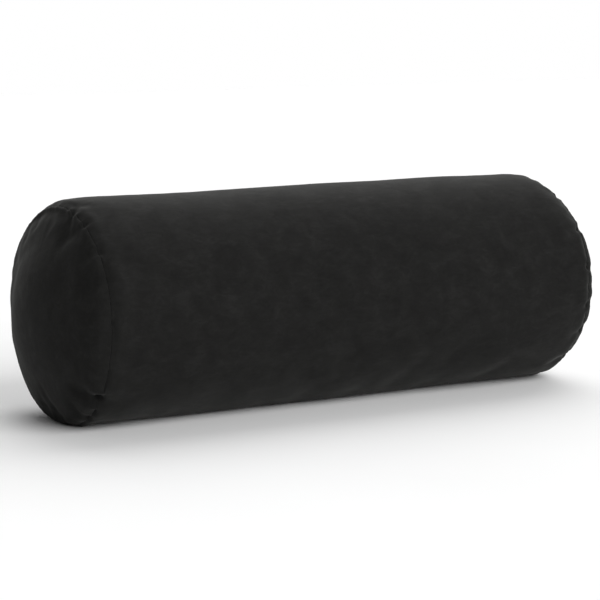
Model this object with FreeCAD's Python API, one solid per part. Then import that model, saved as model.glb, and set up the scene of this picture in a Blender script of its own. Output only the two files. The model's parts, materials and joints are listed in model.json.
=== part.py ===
"""Round massage bolster: a foam core in fibre wadding and a cloth liner, inside a zipped cover.

Units are millimetres. The row frame has +X along the bolster, +Z up and its origin in the middle
of the flattened strip that the bolster rests on. The zip runs lengthwise along the back, a little
below half height. Its pieces are drawn flat on a bench frame (X along the zip, Y down the back,
Z out of the cover, Z = 0 on the cover's outer face) and are then placed on the bolster.
"""
import FreeCAD
import Part

import math
import os

Vector = FreeCAD.Vector

# ---- driving dimensions ---------------------------------------------------------------------
BODY_R = 115.0          # full radius of the cover
SEAM_X = 291.0          # distance of each end seam from the middle
SEAM_R = 109.0          # radius of the end seams
CORNER_X = 275.0        # where the tube starts to draw in towards a seam
DOME_RISE = 39.0        # how far each end panel bulges beyond its seam
FLAT_DEPTH = 4.0        # how far the bolster is pressed in where it rests
AXIS_Z = BODY_R - FLAT_DEPTH

CLOTH = 1.0             # cover cloth thickness
LINER_CLOTH = 0.4
LAYER_GAP = 0.3         # slack between one layer and the next
HAIR = 0.02             # smallest gap between pieces that touch

ALLOWANCE = 9.0         # depth of the end seam allowances
FOAM_R = 95.0
FOAM_HALF = 280.0
FOAM_EDGE_R = 10.0

# lengthwise zip
ZIP_ANGLE = 18.0        # degrees below half height, on the back
FACET_HALF = 18.0       # half width of the strip that the zip holds flat
FACET_R = math.sqrt(BODY_R**2 - FACET_HALF**2)
ZIP_HALF = 235.0        # half length of the zip opening
FOLD_Y = 5.3            # from the zip's middle to each folded cloth edge
HEM_Y = 15.3            # how wide the turned-under hem reaches
TAPE_IN, TAPE_OUT, TAPE_T = 1.5, 16.0, 0.6
TAPE_TOP = -2 * CLOTH - 0.05
TAPE_END = ZIP_HALF + 10.0
COIL_PITCH, COIL_TOOTH = 1.4, 0.6
COIL_SPINE_IN, COIL_SPINE_OUT = 2.2, 3.1
COIL_REACH, COIL_PARTED = -0.9, 1.4     # tooth tip past the middle: meshed, and parted
COIL_TOP = 0.25
STOP_X = 230.0          # nearest face of the top stops, from the middle
STOP_LENGTH = 2.5
STOP_Y = 3.6            # outer edge of the stops
STITCH = 3.0            # stitch length
THREAD = 0.4            # thread width and height
TOPSTITCH_Y = 8.3

# slider, measured from its own middle
SLIDER_X = -223.8       # slider's middle when the zip is shut
SLIDER_HALF = 6.0
WING_MOUTH, WING_REAR = 4.4, 3.9        # half widths at the two ends
WING_T = 1.05
CHANNEL_TOP = 0.45
CHANNEL_BOTTOM = TAPE_TOP - TAPE_T - 0.2
WING_TOP = CHANNEL_TOP + WING_T
RAIL_IN, RAIL_BOTTOM = 3.5, -1.7
CROWN_HALF, CROWN_TOP, CROWN_WALL, CROWN_Y = 4.6, 4.7, 0.8, 1.7
PULL_Z = WING_TOP + 0.75                # height of the pull's bar
PULL_T, PULL_BAR_R, PULL_LENGTH = 1.4, 0.6, 26.0
PULL_ARM_IN, PULL_ARM_OUT = 1.95, 3.2
PAWL_Z, PAWL_T, PAWL_Y = 3.0, 0.35, 0.8
PAWL_PIVOT_X, PAWL_PIVOT_Z = -2.8, 1.8
PAWL_TIP_X, PAWL_TIP_Z = 2.7, COIL_TOP + HAIR

BIG = 2000.0
TO_UPPER, TO_LOWER = -1, 1              # bench Y runs down the back


# ---- helpers --------------------------------------------------------------------------------
def span_box(x0, x1, y0, y1, z0, z1):
    """Box between two corners, in any order."""
    low = Vector(min(x0, x1), min(y0, y1), min(z0, z1))
    return Part.makeBox(abs(x1 - x0), abs(y1 - y0), abs(z1 - z0), low)


def on_zip(shape):
    """Moves a shape from the bench frame to the zip's place on the bolster."""
    turn = FreeCAD.Rotation(Vector(1, 0, 0), -(90.0 + ZIP_ANGLE))
    out = turn.multVec(Vector(0, 0, FACET_R))
    placed = shape.copy()
    placed.Placement = FreeCAD.Placement(out + Vector(0, 0, AXIS_Z), turn).multiply(shape.Placement)
    return placed


def save(node, *solids):
    """Writes one node's solids to its STEP file."""
    shape = solids[0] if len(solids) == 1 else Part.makeCompound(list(solids))
    shape.exportStep(os.path.join("parts", node + ".step"))


def ring(x0, x1, r0, r1):
    """Square-edged ring about the bolster's axis."""
    x0, x1 = min(x0, x1), max(x0, x1)
    base, along = Vector(x0, 0, AXIS_Z), Vector(1, 0, 0)
    return Part.makeCylinder(r1, x1 - x0, base, along).cut(
        Part.makeCylinder(r0, x1 - x0, base, along))


def envelope(body_r, corner_x, neck_x, neck_r, dome_x, rise, flat_z, facet_z):
    """Closed bolster shape of one layer, pressed flat underneath and behind the zip.

    A tube of body_r reaches corner_x, a rounded corner draws it in to neck_r at neck_x, and an
    elliptical dome closes it from dome_x. flat_z is the resting plane, facet_z the zip's plane.
    """
    def at(x, r):
        return Vector(x, 0, AXIS_Z + r)

    drop = body_r - neck_r
    corner_r = ((neck_x - corner_x) ** 2 + drop**2) / (2 * drop)
    end_angle = math.atan2(corner_r - drop, neck_x - corner_x)
    middle = (math.pi / 2 + end_angle) / 2
    edges = [Part.makeLine(at(-corner_x, body_r), at(corner_x, body_r))]
    for side in (-1, 1):
        half_way = at(side * (corner_x + corner_r * math.cos(middle)),
                      body_r - corner_r + corner_r * math.sin(middle))
        edges.append(Part.Arc(at(side * corner_x, body_r), half_way, at(side * neck_x, neck_r)).toShape())
        if dome_x > neck_x:
            edges.append(Part.makeLine(at(side * neck_x, neck_r), at(side * dome_x, neck_r)))
        centre = at(side * dome_x, 0)
        ellipse = Part.Ellipse(centre + Vector(0, 0, neck_r), centre + Vector(side * rise, 0, 0), centre)
        edges.append(ellipse.toBSpline(0, math.pi / 2).toShape())
    tip = dome_x + rise
    edges.append(Part.makeLine(at(-tip, 0), at(tip, 0)))
    profile = Part.Face(Part.Wire(Part.sortEdges(edges)[0]))
    solid = profile.revolve(Vector(0, 0, AXIS_Z), Vector(1, 0, 0), 360)
    solid = solid.cut(span_box(-BIG, BIG, -BIG, BIG, flat_z - BIG, flat_z))
    return solid.cut(on_zip(span_box(-BIG, BIG, -BIG, BIG, facet_z, facet_z + BIG)))


def comb(x0, x1, pitch, tooth, back_y, root_y, tip_y, z0, z1, first=0.5):
    """Straight spine from x0 to x1 with evenly spaced teeth: a zip coil or a run of stitches.

    The spine lies between back_y and root_y. tip_y gives a tooth's tip for its place in X.
    """
    points = [Vector(x0, back_y, z0), Vector(x0, root_y, z0)]
    x = x0 + first * pitch
    while x + tooth / 2 < x1:
        tip = tip_y(x)
        points += [Vector(x - tooth / 2, root_y, z0), Vector(x - tooth / 2, tip, z0),
                   Vector(x + tooth / 2, tip, z0), Vector(x + tooth / 2, root_y, z0)]
        x += pitch
    points += [Vector(x1, root_y, z0), Vector(x1, back_y, z0), points[0]]
    return Part.Face(Part.makePolygon(points)).extrude(Vector(0, 0, z1 - z0))


def stitch_row(x0, x1, y, surface_z, depth, upward=1):
    """Thread of one row of stitches at y: it lies on surface_z and dips depth into the cloth."""
    flat = comb(x0, x1, STITCH, 2 * THREAD, THREAD, 0.0, lambda x: -depth, -THREAD / 2, THREAD / 2)
    flat.rotate(Vector(), Vector(1, 0, 0), 90 * upward)
    flat.translate(Vector(0, y, surface_z))
    return flat


def rounded_plate(outline, z0, z1, corner_r, edge_r):
    """Flat plate with rounded corners and softened top and bottom edges."""
    points = [Vector(x, y, z0) for x, y in outline]
    plate = Part.Face(Part.makePolygon(points + points[:1])).extrude(Vector(0, 0, z1 - z0))
    upright = [e for e in plate.Edges if abs(e.Vertexes[0].Z - e.Vertexes[1].Z) > (z1 - z0) / 2]
    plate = plate.makeFillet(corner_r, upright)
    level = [e for e in plate.Edges if abs(e.BoundBox.ZMax - e.BoundBox.ZMin) < 1e-6]
    return plate.makeFillet(edge_r, level)


# ---- cover ----------------------------------------------------------------------------------
def cover_shell():
    outer = envelope(BODY_R, CORNER_X, SEAM_X, SEAM_R, SEAM_X, DOME_RISE, 0.0, 0.0)
    inner = envelope(BODY_R - CLOTH, CORNER_X, SEAM_X, SEAM_R - CLOTH, SEAM_X, DOME_RISE - CLOTH,
                     CLOTH, -CLOTH)
    return outer.cut(inner)


def cover_body_panel(shell):
    """One wrapped panel: seam allowances turned in at both ends, hems turned under at the zip."""
    panel = shell.common(span_box(-SEAM_X, SEAM_X, -BIG, BIG, -BIG, BIG))
    flange_r = SEAM_R - 0.4
    panel = panel.fuse([ring(s * SEAM_X, s * (SEAM_X - CLOTH), SEAM_R - ALLOWANCE, flange_r)
                        for s in (-1, 1)])
    slot = span_box(-ZIP_HALF, ZIP_HALF, -FOLD_Y, FOLD_Y, -5, 5)
    slit = span_box(-BIG, BIG, -0.05, 0.05, -25, 5)
    hems = []
    for side in (TO_UPPER, TO_LOWER):
        hems.append(span_box(-ZIP_HALF, ZIP_HALF, side * FOLD_Y, side * HEM_Y, -2 * CLOTH, -CLOTH))
        for end in (-1, 1):
            hems.append(span_box(end * ZIP_HALF, end * CORNER_X, side * 0.05, side * HEM_Y,
                                 -2 * CLOTH, -CLOTH))
    return panel.fuse([on_zip(h) for h in hems]).cut([on_zip(slot), on_zip(slit)]).removeSplitter()


def cover_end_panel(shell, side):
    """Round end panel, domed by the filling, with its allowance turned in beside the tube's."""
    near = SEAM_X + HAIR
    dome = shell.common(span_box(side * near, side * BIG, -BIG, BIG, -BIG, BIG))
    flange = ring(side * near, side * (near + CLOTH), SEAM_R - ALLOWANCE, SEAM_R - 0.4)
    return dome.fuse(flange).removeSplitter()


def end_seam_thread(side):
    """Lockstitch through both allowances: a thread each side and a leg at every stitch."""
    r0 = SEAM_R - 3.0
    r1 = r0 + THREAD
    inner_x, outer_x = SEAM_X - CLOTH - HAIR, SEAM_X + CLOTH + 2 * HAIR
    needle = ring(side * (inner_x - THREAD), side * inner_x, r0, r1)
    bobbin = ring(side * outer_x, side * (outer_x + THREAD), r0, r1)
    count = round(2 * math.pi * r0 / STITCH)
    leg = span_box(side * (inner_x - THREAD / 2), side * (outer_x + THREAD / 2),
                   -THREAD / 2, THREAD / 2, AXIS_Z + r0 + 0.05, AXIS_Z + r1 - 0.05)
    legs = []
    for i in range(count):
        legs.append(leg.copy())
        legs[-1].rotate(Vector(0, 0, AXIS_Z), Vector(1, 0, 0), 360.0 * i / count)
    return needle.fuse([bobbin] + legs)


def end_seam_overlock(side):
    """Overlocked edge: thread wrapped round the raw edges of both allowances."""
    edge_r, wrap = SEAM_R - ALLOWANCE, 0.3
    low_x, high_x = SEAM_X - CLOTH - HAIR, SEAM_X + CLOTH + 2 * HAIR
    outside = ring(side * (low_x - wrap), side * (high_x + wrap), edge_r - HAIR - wrap, edge_r + 3.0)
    return outside.cut(ring(side * low_x, side * high_x, edge_r - HAIR, edge_r + 10.0))


# ---- zip ------------------------------------------------------------------------------------
def zip_tape(side):
    return on_zip(span_box(-TAPE_END, TAPE_END, side * TAPE_IN, side * TAPE_OUT,
                           TAPE_TOP - TAPE_T, TAPE_TOP))


def zip_coil(side):
    """Half of the chain. Its turns mesh with the other half's behind the slider's post."""
    post_end = SLIDER_X - 1.6
    x0, x1 = -STOP_X + HAIR, STOP_X - 1.0 - HAIR

    def tip(x):
        return side * (COIL_REACH if x > post_end else COIL_PARTED)

    first = 0.5 if side == TO_UPPER else 1.0
    coil = comb(x0, x1, COIL_PITCH, COIL_TOOTH, side * COIL_SPINE_OUT, side * COIL_SPINE_IN, tip,
                TAPE_TOP, COIL_TOP, first)
    return on_zip(coil)


def coil_sewing_thread(side):
    """Chain stitch that holds the coil's spine down on its tape."""
    y = side * (COIL_SPINE_IN + COIL_SPINE_OUT) / 2
    row = comb(-STOP_X + 1.0, STOP_X - 2.0, 2 * COIL_PITCH, THREAD, 0.15, 0.0, lambda x: -2.8,
               -THREAD / 2, THREAD / 2)
    row.rotate(Vector(), Vector(1, 0, 0), 90)
    row.translate(Vector(0, y, COIL_TOP))
    return on_zip(row)


def zip_topstitch(side):
    """Needle thread outside and bobbin thread inside, through the hem and the tape."""
    reach = ZIP_HALF + 1.5
    needle = stitch_row(-reach, reach, side * TOPSTITCH_Y, 0.0, 1.4)
    bobbin = stitch_row(-reach, reach, side * TOPSTITCH_Y, TAPE_TOP - TAPE_T, 1.0, -1)
    return on_zip(needle), on_zip(bobbin)


def zip_bartack(end):
    """Dense cross stitches that close off one end of the zip opening."""
    rows = []
    for i in range(5):
        row = comb(-TOPSTITCH_Y - 0.5, TOPSTITCH_Y + 0.5, 1.5, THREAD, THREAD, 0.0, lambda x: -1.4,
                   -THREAD / 2, THREAD / 2)
        row.rotate(Vector(), Vector(1, 0, 0), 90)
        row.rotate(Vector(), Vector(0, 0, 1), 90)
        row.translate(Vector(end * (ZIP_HALF + 2.2 + i * 1.25 * THREAD), 0, 0))
        rows.append(on_zip(row))
    return rows


def back_seam_thread(end):
    """Ladder of stitches that joins the panel's edges between the zip and the end seam."""
    row = comb(TAPE_END + 1.0, CORNER_X - 1.0, STITCH, THREAD, -1.8, -1.8 + THREAD, lambda x: 1.8,
               TAPE_TOP - THREAD, TAPE_TOP)
    if end < 0:
        row = row.mirror(Vector(), Vector(1, 0, 0))
    return on_zip(row)


def zip_top_stop(side):
    """Metal clip on one coil's end, which the slider meets when the zip is shut."""
    clip = span_box(-STOP_X - STOP_LENGTH, -STOP_X, side * COIL_PARTED, side * STOP_Y, TAPE_TOP, 0.35)
    return on_zip(clip.makeFillet(0.3, clip.Edges))


def zip_bottom_stop():
    """Metal clip across both coils, where the slider stops when the zip is open."""
    clip = span_box(STOP_X - 1.0, STOP_X + 3.0, -STOP_Y, STOP_Y, TAPE_TOP, 0.4)
    return on_zip(clip.makeFillet(0.4, clip.Edges))


# ---- slider and pull ------------------------------------------------------------------------
def at_slider(shape):
    shape.translate(Vector(SLIDER_X, 0, 0))
    return on_zip(shape)


def zip_slider_body():
    """Two wings joined by a post at the mouth, with rails that guide the coils."""
    outline = [(-SLIDER_HALF, -3.4), (-4.6, -WING_MOUTH), (-1.0, -WING_MOUTH), (2.0, -WING_REAR),
               (SLIDER_HALF, -WING_REAR), (SLIDER_HALF, WING_REAR), (2.0, WING_REAR),
               (-1.0, WING_MOUTH), (-4.6, WING_MOUTH), (-SLIDER_HALF, 3.4)]
    top = rounded_plate(outline, CHANNEL_TOP, WING_TOP, 0.7, 0.3)
    bottom = rounded_plate(outline, CHANNEL_BOTTOM - WING_T, CHANNEL_BOTTOM, 0.7, 0.3)
    post_points = [Vector(x, y, CHANNEL_BOTTOM - 0.1)
                   for x, y in ((-5.0, 0.0), (-3.6, -1.2), (-1.8, 0.0), (-3.6, 1.2), (-5.0, 0.0))]
    post = Part.Face(Part.makePolygon(post_points)).extrude(
        Vector(0, 0, CHANNEL_TOP - CHANNEL_BOTTOM + 0.2))
    rails = [span_box(-4.4, SLIDER_HALF - 0.6, s * RAIL_IN, s * (WING_REAR - 0.05), RAIL_BOTTOM,
                      CHANNEL_TOP + 0.4) for s in (-1, 1)]
    slot = span_box(PAWL_TIP_X - 0.5, PAWL_TIP_X + 0.5, -PAWL_Y - 0.2, PAWL_Y + 0.2,
                    CHANNEL_TOP - 0.5, WING_TOP + 0.5)
    return at_slider(top.fuse([bottom, post] + rails).cut(slot).removeSplitter())


def zip_slider_crown():
    """Bridge over the slider, under which the pull's bar and the locking pawl lie."""
    def arch(half, top, y):
        points = [Vector(-half, -y, WING_TOP), Vector(half, -y, WING_TOP),
                  Vector(half - 0.5, -y, top), Vector(-half + 0.5, -y, top)]
        return Part.Face(Part.makePolygon(points + points[:1])).extrude(Vector(0, 2 * y, 0))

    solid = arch(CROWN_HALF, CROWN_TOP, CROWN_Y)
    ridges = [e for e in solid.Edges
              if e.BoundBox.ZMin > CROWN_TOP - 0.01 and e.BoundBox.XLength < 0.01]
    solid = solid.makeFillet(1.2, ridges)
    return at_slider(solid.cut(arch(CROWN_HALF - CROWN_WALL, CROWN_TOP - CROWN_WALL, CROWN_Y + 1)))


def zip_slider_pawl():
    """Spring strip whose bent tip drops through the top wing onto the chain."""
    front = PAWL_PIVOT_X
    strip = span_box(front - 0.2, PAWL_TIP_X + 0.2, -PAWL_Y, PAWL_Y, PAWL_Z, PAWL_Z + PAWL_T)
    foot = span_box(front - 0.2, front + 0.2, -PAWL_Y, PAWL_Y, PAWL_PIVOT_Z, PAWL_Z + PAWL_T)
    knuckle = Part.makeCylinder(0.25, 2 * PAWL_Y, Vector(front, -PAWL_Y, PAWL_PIVOT_Z), Vector(0, 1, 0))
    tip = span_box(PAWL_TIP_X - 0.2, PAWL_TIP_X + 0.2, -PAWL_Y, PAWL_Y, PAWL_TIP_Z, PAWL_Z + PAWL_T)
    return at_slider(strip.fuse([foot, knuckle, tip]).removeSplitter())


def zip_pull_tab():
    """Pull: a cross bar under the crown, two arms beside it and a slotted tab."""
    low, high = PULL_Z - PULL_T / 2, PULL_Z + PULL_T / 2
    tab = rounded_plate([(5.2, -PULL_ARM_OUT), (9.0, -2.7), (PULL_LENGTH, -3.6),
                         (PULL_LENGTH, 3.6), (9.0, 2.7), (5.2, PULL_ARM_OUT)], low, high, 1.4, 0.35)
    window = Part.makeCylinder(1.1, 9, Vector(0, 0, low - 4))
    window = window.fuse([Part.makeCylinder(1.1, 9, Vector(5.0, 0, low - 4)),
                          span_box(0, 5.0, -1.1, 1.1, low - 4, low + 5)])
    window.translate(Vector(PULL_LENGTH - 9.0, 0, 0))
    arms = []
    for s in (-1, 1):
        arms.append(span_box(0, 6.8, s * PULL_ARM_IN, s * (PULL_ARM_OUT - 0.1), low, high))
        arms.append(Part.makeCylinder(PULL_T / 2, PULL_ARM_OUT - 0.1 - PULL_ARM_IN,
                                      Vector(0, s * PULL_ARM_IN, PULL_Z), Vector(0, s, 0)))
    bar = Part.makeCylinder(PULL_BAR_R, 2 * PULL_ARM_IN + 0.4,
                            Vector(0, -PULL_ARM_IN - 0.2, PULL_Z), Vector(0, 1, 0))
    return at_slider(tab.fuse(arms + [bar]).cut(window).removeSplitter())


# ---- inner cushion --------------------------------------------------------------------------
LINER_R = BODY_R - CLOTH - LAYER_GAP
LINER_NECK_R = SEAM_R - ALLOWANCE - 1.2         # passes inside the overlocked allowances
LINER_CORNER_X, LINER_NECK_X, LINER_DOME_X = 268.0, 288.3, 292.9
LINER_RISE = SEAM_X + DOME_RISE - CLOTH - 0.5 - LINER_DOME_X
LINER_JOIN_X = 289.6
LINER_FACET = CHANNEL_BOTTOM - WING_T - LAYER_GAP
WADDING_SPLIT_X = FOAM_HALF + 1.0


def liner_layer(inset):
    """The liner's outer shape, or a shape inset below it."""
    return envelope(LINER_R - inset, LINER_CORNER_X, LINER_NECK_X, LINER_NECK_R - inset,
                    LINER_DOME_X, LINER_RISE - inset, CLOTH + LAYER_GAP + inset, LINER_FACET - inset)


def liner_panels():
    shell = liner_layer(0.0).cut(liner_layer(LINER_CLOTH))
    tube = shell.common(span_box(-LINER_JOIN_X, LINER_JOIN_X, -BIG, BIG, -BIG, BIG))
    near = LINER_JOIN_X + HAIR
    ends = [shell.common(span_box(s * near, s * BIG, -BIG, BIG, -BIG, BIG)) for s in (-1, 1)]
    return tube, ends[0], ends[1]


def liner_seam_thread(side):
    """Flat overlock seam over the joint between the liner's tube and its end."""
    return ring(side * (LINER_JOIN_X - 0.9), side * (LINER_JOIN_X + 0.9),
                LINER_NECK_R + HAIR, LINER_NECK_R + 0.3)


def liner_closing_thread():
    """Straight seam that closes the liner's tube, along its top."""
    top_z = AXIS_Z + LINER_R
    row = comb(-LINER_CORNER_X, LINER_CORNER_X, STITCH, THREAD, 0.2, 0.0, lambda x: -0.35,
               -THREAD / 2, THREAD / 2)
    row.rotate(Vector(), Vector(1, 0, 0), 90)
    row.translate(Vector(0, 0, top_z + 0.01))
    return row


def wadding_pieces():
    """Fibre wrap round the core and a domed pad on each of the core's ends."""
    filling = liner_layer(LINER_CLOTH + 0.2)
    x = WADDING_SPLIT_X
    core_space = Part.makeCylinder(FOAM_R + 0.2, 2 * x, Vector(-x, 0, AXIS_Z), Vector(1, 0, 0))
    wrap = filling.common(span_box(-x, x, -BIG, BIG, -BIG, BIG)).cut(core_space)
    near = x + 0.2
    pads = [filling.common(span_box(s * near, s * BIG, -BIG, BIG, -BIG, BIG)) for s in (-1, 1)]
    return wrap, pads[0], pads[1]


def foam_core():
    core = Part.makeCylinder(FOAM_R, 2 * FOAM_HALF, Vector(-FOAM_HALF, 0, AXIS_Z), Vector(1, 0, 0))
    rims = [e for e in core.Edges if e.BoundBox.XLength < 1e-6]
    return core.makeFillet(FOAM_EDGE_R, rims)


# ---- build ----------------------------------------------------------------------------------
def main():
    os.makedirs("parts", exist_ok=True)
    shell = cover_shell()
    save("cover_body_panel", cover_body_panel(shell))
    for name, side in (("left", -1), ("right", 1)):
        save("cover_end_panel_" + name, cover_end_panel(shell, side))
        save("end_seam_thread_" + name, end_seam_thread(side))
        save("end_seam_overlock_" + name, end_seam_overlock(side))
        save("zip_bartack_" + name, *zip_bartack(side))
        save("back_seam_thread_" + name, back_seam_thread(side))
        save("liner_seam_thread_" + name, liner_seam_thread(side))

    for name, side in (("upper", TO_UPPER), ("lower", TO_LOWER)):
        save("zip_tape_" + name, zip_tape(side))
        save("zip_coil_" + name, zip_coil(side))
        save("coil_sewing_thread_" + name, coil_sewing_thread(side))
        save("zip_topstitch_" + name, *zip_topstitch(side))
        save("zip_top_stop_" + name, zip_top_stop(side))
    save("zip_bottom_stop", zip_bottom_stop())

    save("zip_slider_body", zip_slider_body())
    save("zip_slider_crown", zip_slider_crown())
    save("zip_slider_pawl", zip_slider_pawl())
    save("zip_pull_tab", zip_pull_tab())

    tube, end_left, end_right = liner_panels()
    save("liner_tube", tube)
    save("liner_end_left", end_left)
    save("liner_end_right", end_right)
    save("liner_closing_thread", liner_closing_thread())
    wrap, pad_left, pad_right = wadding_pieces()
    save("wadding_wrap", wrap)
    save("wadding_pad_left", pad_left)
    save("wadding_pad_right", pad_right)
    save("foam_core", foam_core())


main()
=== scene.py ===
"""Looks for the round massage bolster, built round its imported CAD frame.

Units are metres in the row frame: +X along the bolster, +Z up. The zip runs along the back. Its
pieces are placed from zip coordinates: x along it, y down the back, z out of the cover's face.
An angle round the bolster is counted from the zip, up over the top, and a seam angle from the
top towards the front.
"""

import json
import math

import bpy
import numpy as np
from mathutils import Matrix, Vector
from mathutils.bvhtree import BVHTree


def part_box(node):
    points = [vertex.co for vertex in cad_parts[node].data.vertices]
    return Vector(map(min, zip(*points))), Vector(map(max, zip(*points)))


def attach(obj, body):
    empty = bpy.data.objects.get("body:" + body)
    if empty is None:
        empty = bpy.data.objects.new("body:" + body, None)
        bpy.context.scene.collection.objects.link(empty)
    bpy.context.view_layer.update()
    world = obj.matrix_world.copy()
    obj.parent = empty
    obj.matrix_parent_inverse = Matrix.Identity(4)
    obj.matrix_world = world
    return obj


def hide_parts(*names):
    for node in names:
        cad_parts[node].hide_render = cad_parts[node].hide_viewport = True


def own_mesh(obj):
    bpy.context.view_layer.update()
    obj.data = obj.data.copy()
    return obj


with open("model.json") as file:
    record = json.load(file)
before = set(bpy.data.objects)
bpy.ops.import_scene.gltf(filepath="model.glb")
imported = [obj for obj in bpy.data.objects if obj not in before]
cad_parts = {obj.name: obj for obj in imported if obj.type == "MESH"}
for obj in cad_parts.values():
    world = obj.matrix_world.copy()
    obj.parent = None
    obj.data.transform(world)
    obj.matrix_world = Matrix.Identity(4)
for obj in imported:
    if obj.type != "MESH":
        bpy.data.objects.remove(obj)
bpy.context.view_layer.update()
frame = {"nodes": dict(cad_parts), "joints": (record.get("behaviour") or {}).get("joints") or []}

MM = 0.001

# ---- sizes read from the frame ----
panel_low, panel_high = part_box("cover_body_panel")
end_low, end_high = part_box("cover_end_panel_right")
coil_low, coil_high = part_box("zip_coil_upper")
slider_low, slider_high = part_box("zip_slider_body")
CORE_LOW, CORE_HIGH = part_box("foam_core")
RADIUS = round((panel_high.y - panel_low.y) / 2, 3)
AXIS_Z = panel_high.z - RADIUS
SEAM_X = round(end_low.x, 3)
TIP_X = end_high.x
SEAM_R = (end_high.y - end_low.y) / 2
COIL_LEFT, COIL_RIGHT = coil_low.x, coil_high.x
TAPE_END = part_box("zip_tape_upper")[1].x
SLIDER_X = (slider_low.x + slider_high.x) / 2
CORE_R = (CORE_HIGH.y - CORE_LOW.y) / 2
BACK_UP = Vector(next(j["axis"] for j in frame["joints"] if j["name"] == "pull_swing"))
BACK_OUT = Vector((0.0, BACK_UP.z, -BACK_UP.y))
ZIP_ANGLE = math.atan2(BACK_UP.y, BACK_UP.z)

# ---- sizes shared with the CAD pieces ----
CLOTH = 1.0 * MM
STRIP_HALF = 18 * MM                    # half width of the flat strip behind the zip
FACET_R = math.sqrt(RADIUS**2 - STRIP_HALF**2)    # how far that strip is from the axis
CORNER_X = SEAM_X - 16 * MM             # where the tube starts to round into an end seam
ALLOWANCE = 9 * MM                      # sewn edge inside an end seam
FOLD_Y = 5.3 * MM                       # from the zip's middle to each folded cloth edge
HEM_Y = 15.3 * MM                       # and to the edge of the cloth turned under
SLOT_END = 235 * MM                     # where the zip opening ends
TAPE_Z = -2.05 * MM                     # a tape's outer face
TAPE_T = 0.6 * MM
TOPSTITCH_Y = 8.3 * MM                  # from the zip's middle to each row of stitches
STITCH = 3.0 * MM
COIL_PITCH = 1.4 * MM
COIL_SPINE, COIL_HEAD = 2.95 * MM, -0.62 * MM     # how far a turn reaches from the zip's middle
COIL_PARTING = 2.15 * MM                # how far a turn draws back for the slider's post

# ---- sizes of the soft shape ----
DOME_RISE = TIP_X - SEAM_X - 2 * MM
DOME_POWER = 1.39                       # above 1 the dome is a little pointed, below it is blunt
DOME_EDGE = math.acos(0.03)             # the dome starts a hair inside its widest ring
NECK = 0.3 * MM                         # how tightly the cloth turns into an end seam
SEAM_GAP = 0.05 * MM                    # from each panel to the middle of an end seam
GROUND = -0.4 * MM                      # how far the cloth beds into the ground
FLANGE_FADE = 5 * MM                    # unevenness dies out over this length of sewn edge
INNER_SLACK = 5.5 * MM                  # keeps the inner layers clear of the cover's puckers
MAX_SWELL = 6 * MM                      # how far the cloth simulation may move the cover

LEFT, RIGHT = -1, 1
UPPER, LOWER = 1, -1
ENDS = ((LEFT, "left"), (RIGHT, "right"))
HALVES = ((UPPER, "upper"), (LOWER, "lower"))


# ---- small maths ----
def smooth_step(low, high, value):
    """0 below low, 1 above high and a smooth ramp between. Low may be the larger one."""
    t = np.clip((value - low) / (high - low), 0.0, 1.0)
    return t * t * (3.0 - 2.0 * t)


def soft_max(a, b, blend):
    """The larger of two values, with the change from one to the other rounded off."""
    return 0.5 * (a + b + np.sqrt((a - b) ** 2 + blend**2))


def unit(vectors):
    return vectors / np.maximum(np.linalg.norm(vectors, axis=-1, keepdims=True), 1e-12)


def from_axis(x, out, up):
    """Points at distances from the bolster's axis: out through the zip and up along the back."""
    x, out, up = np.broadcast_arrays(x, out, up)
    points = out[..., None] * np.array(BACK_OUT) + up[..., None] * np.array(BACK_UP)
    points[..., 0] += x
    points[..., 2] += AXIS_Z
    return points


def on_back(x, y, z):
    """Points for zip coordinates."""
    return from_axis(x, FACET_R + z, -y)


def around(x, radius, angle):
    """Points round the bolster, pressed flat behind the zip and on the ground."""
    flat = FACET_R / np.maximum(np.cos(angle), 0.5)
    reach = -soft_max(-radius, -flat, 0.5 * MM)
    points = from_axis(x, reach * np.cos(angle), reach * np.sin(angle))
    rest_on(GROUND, points, 3 * MM)
    return points


def rest_on(level, points, blend):
    """Lifts points that lie below a level, rounding the edge by the blend."""
    points[..., 2] = soft_max(points[..., 2], level, blend)


def turn(start, heading, end_heading, radius, count=12):
    """Arc from a point, heading one way and ending another. A negative radius turns clockwise."""
    h = np.linspace(heading, end_heading, count)
    return np.stack([start[0] + radius * (np.sin(h) - math.sin(heading)),
                     start[1] + radius * (math.cos(heading) - np.cos(h))], axis=1)


def graded(first, growth, largest, total):
    """Distances from 0 to total whose steps grow from first to largest."""
    steps, reach = [], 0.0
    step = first
    while reach < total:
        steps.append(step)
        reach += step
        step = min(step * growth, largest)
    distances = np.concatenate([[0.0], np.cumsum(steps)])
    return distances * (total / distances[-1])


class Outline:
    """A panel's line in (x, radius), read by its distance from the end seam, negative inside it.

    The line runs from the raw edge along the sewn allowance, turns out of the seam by the neck
    and goes on over the outer points. The neck is given from its outer end.
    """

    def __init__(self, neck, outer_points):
        raw_edge = [[neck[-1, 0], SEAM_R - ALLOWANCE]]
        points = np.concatenate([raw_edge, neck[:0:-1], outer_points])
        steps = np.linalg.norm(np.diff(points, axis=0), axis=1)
        keep = np.concatenate([[True], steps > 1e-7])
        distance = np.concatenate([[0.0], np.cumsum(steps)]) - steps[:len(neck)].sum()
        self.x, self.radius, self.distance = points[keep, 0], points[keep, 1], distance[keep]
        self.length = self.distance[-1]

    def at(self, distance):
        """The outline's x and radius at distances from the end seam."""
        return (np.interp(distance, self.distance, self.x),
                np.interp(distance, self.distance, self.radius))


def tube_outline():
    """Half of the body panel, up to its middle, with a rounded corner at the seam."""
    run = SEAM_X - SEAM_GAP - NECK / 3 - CORNER_X
    drop = RADIUS - SEAM_R
    bend = 2 * math.atan2(drop, run)
    corner = turn((CORNER_X, RADIUS), 0.0, -bend, -run / math.sin(bend), 24)
    neck = turn(corner[-1], -bend, -math.pi / 2, -NECK)
    return Outline(neck, np.concatenate([corner[::-1], [[0.0, RADIUS]]]))


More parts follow.
